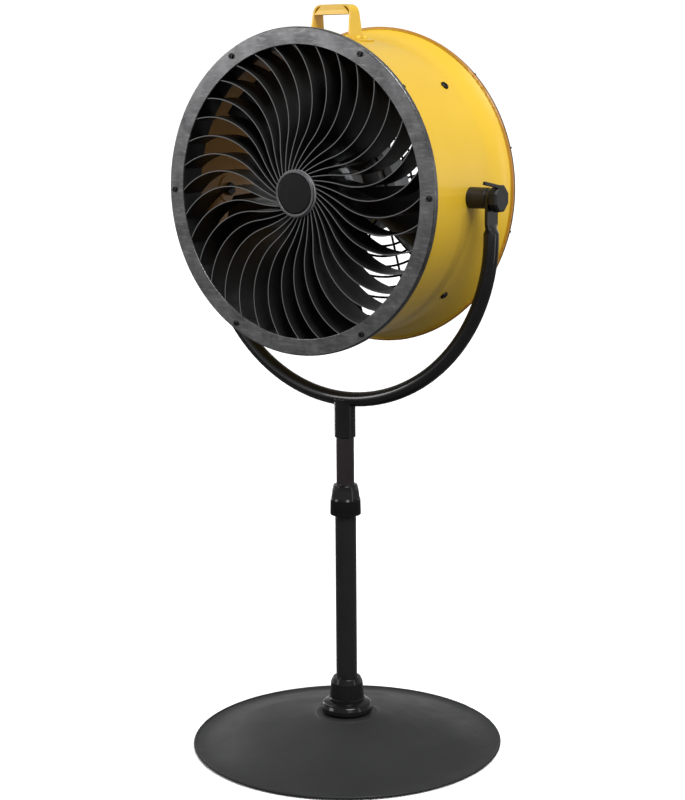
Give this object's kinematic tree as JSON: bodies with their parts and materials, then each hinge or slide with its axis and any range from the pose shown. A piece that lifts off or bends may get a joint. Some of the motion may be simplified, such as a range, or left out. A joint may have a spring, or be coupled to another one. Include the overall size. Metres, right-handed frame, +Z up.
{
  "type": "pedestal drum fan",
  "caption": "Pedestal drum fan: yellow drum with spiral front grille in a tilting yoke, on a telescopic column with a round weighted base.",
  "frame": {"origin": "centre of the base at floor level", "axes": "+Z up the column; the fan blows towards -Y; +X is to the right when looking along +Y at the grille"},
  "size_m": [0.5376, 0.475, 1.117],
  "materials": {
    "drum_paint": "semi-gloss",
    "ring_grey": "satin",
    "black_steel": "semi-gloss",
    "base_charcoal": "satin",
    "dark_chrome": "polished",
    "black_plastic": "matte",
    "gloss_black": "gloss",
    "grille_plastic": "satin",
    "trim_silver": "satin",
    "zinc_steel": "satin",
    "black_oxide": "satin",
    "motor_cast": "cast",
    "iron": "rough",
    "copper_wire": "varnished",
    "brass_insert": "satin",
    "foot_rubber": "matte",
    "blade_paint": "satin",
    "dial_white": "satin"
  },
  "bodies": {
    "base": {"base_cover": "base_charcoal", "base_weight": "iron", "base_bottom_plate": "black_steel", "base_feet": "foot_rubber", "base_plate_screws": "zinc_steel", "base_bolt": "zinc_steel", "base_bolt_washer": "zinc_steel", "base_collar": "gloss_black", "column_foot_plug": "zinc_steel", "column_outer_tube": "black_steel", "column_sleeve": "black_plastic", "split_collet": "black_plastic"},
    "lock_nut": {"height_lock_nut": "gloss_black"},
    "column": {"column_inner_tube": "dark_chrome", "column_lower_bush": "black_plastic", "column_top_plug": "black_plastic"},
    "yoke": {"yoke_tube": "black_steel", "yoke_socket": "black_steel", "swivel_clamp_screw": "black_oxide"},
    "head": {"drum_shell": "drum_paint", "drum_rivets": "black_oxide", "carry_handle": "drum_paint", "handle_rivets": "drum_paint", "front_ring": "ring_grey", "front_grille": "grille_plastic", "grille_hub_ring": "trim_silver", "grille_hub_cap": "gloss_black", "ring_screws": "black_oxide", "ring_nuts": "zinc_steel", "pivot_spacers": "black_plastic", "pivot_washers": "black_plastic", "pivot_backing_plates": "drum_paint", "pivot_bolts": "black_oxide", "motor_front_shell": "motor_cast", "motor_rear_shell": "motor_cast", "motor_tie_bolts": "zinc_steel", "stator_core": "black_oxide", "stator_windings": "copper_wire", "motor_bearings": "zinc_steel", "motor_bracket": "black_steel", "motor_bracket_screws": "black_oxide", "rear_guard": "black_steel", "rear_guard_clips": "drum_paint", "switch_housing": "black_plastic", "cord_gland": "black_plastic", "dial_plate": "dial_white", "rotary_switch": "black_plastic", "run_capacitor": "black_plastic"},
    "fan": {"motor_shaft": "zinc_steel", "rotor_core": "iron", "fan_hub": "motor_cast", "fan_hub_bush": "brass_insert", "fan_nut": "zinc_steel", "fan_nut_washer": "zinc_steel", "fan_blades": "blade_paint"},
    "knob_right": {"tilt_knob_right": "black_plastic", "knob_insert_right": "brass_insert"},
    "knob_left": {"tilt_knob_left": "black_plastic", "knob_insert_left": "brass_insert"},
    "speed_knob": {"speed_knob": "black_plastic"}
  },
  "joints": [
    {"name": "height_slide", "type": "slide", "parent": "base", "child": "column", "axis": [0, 0, 1], "range_m": [-0.07, 0.15]},
    {"name": "lock_nut_turn", "type": "hinge", "parent": "base", "child": "lock_nut", "pos_m": [0, 0, 0.38], "axis": [0, 0, 1], "range_deg": [0, 180]},
    {"name": "yoke_swivel", "type": "hinge", "parent": "column", "child": "yoke", "pos_m": [0, 0, 0.51], "axis": [0, 0, 1], "range_deg": [-180, 180]},
    {"name": "head_tilt", "type": "hinge", "parent": "yoke", "child": "head", "pos_m": [0, 0, 0.847], "axis": [1, 0, 0], "range_deg": [-180, 180]},
    {"name": "fan_spin", "type": "hinge", "parent": "head", "child": "fan", "pos_m": [0, -0.027, 0.8525], "axis": [0, 1, 0], "continuous": true},
    {"name": "tilt_knob_right_turn", "type": "hinge", "parent": "head", "child": "knob_right", "pos_m": [0.262, 0, 0.847], "axis": [1, 0, 0], "range_deg": [0, 180]},
    {"name": "tilt_knob_left_turn", "type": "hinge", "parent": "head", "child": "knob_left", "pos_m": [-0.262, 0, 0.847], "axis": [-1, 0, 0], "range_deg": [0, 180]},
    {"name": "speed_knob_turn", "type": "hinge", "parent": "head", "child": "speed_knob", "pos_m": [0, 0.13, 0.8525], "axis": [0, -1, 0], "range_deg": [0, 135]}
  ]
}
